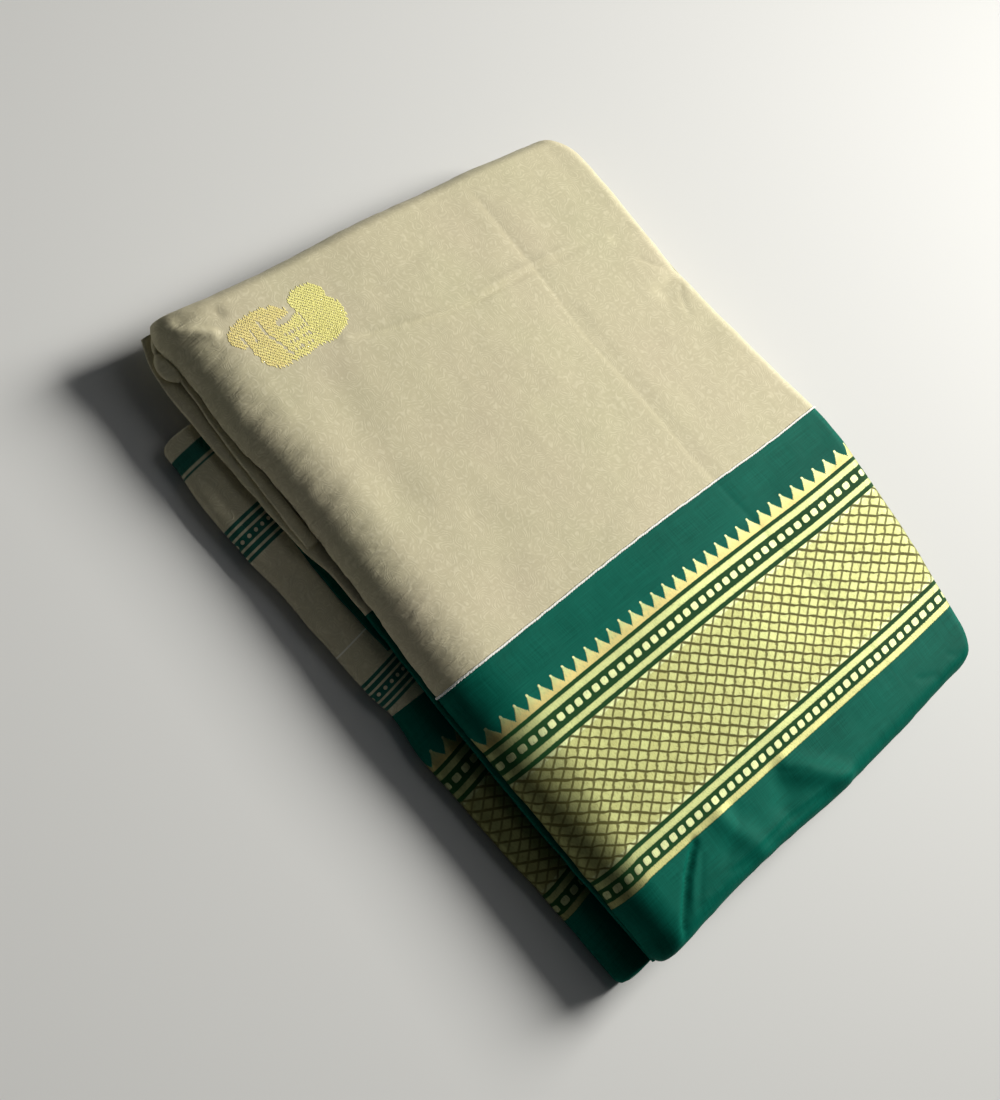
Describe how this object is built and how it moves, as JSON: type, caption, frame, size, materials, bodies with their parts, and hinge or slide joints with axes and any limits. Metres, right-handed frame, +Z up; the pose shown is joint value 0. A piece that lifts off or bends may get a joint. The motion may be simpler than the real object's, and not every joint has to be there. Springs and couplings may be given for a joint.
{
  "type": "folded saree",
  "caption": "Khaki cotton saree with a green and gold zari border, folded into two flat packs joined at the back fold, lying on its underside.",
  "frame": {"origin": "middle of the plan, on the surface that the saree lies on", "axes": "+X along the long side towards the border, +Y towards the back fold, +Z up"},
  "size_m": [0.3852, 0.3398, 0.0374],
  "materials": {
    "khaki_cotton": "fine plain weave with a self texture, slight sheen",
    "striped_cotton": "fine plain weave with green stripes and dotted bands",
    "green_zari": "satin green cotton with woven gold zari",
    "layered_cotton": "matte edges of many folded layers"
  },
  "bodies": {
    "root": {"top_body": "khaki_cotton", "top_border": "green_zari", "tucked_body": "khaki_cotton", "tucked_border": "green_zari", "inner_fold": "khaki_cotton", "corner_tuck": "khaki_cotton", "under_fold": "green_zari", "lower_body": "striped_cotton", "lower_border": "green_zari", "upper_folds": "layered_cotton", "lower_folds": "layered_cotton"}
  },
  "joints": []
}
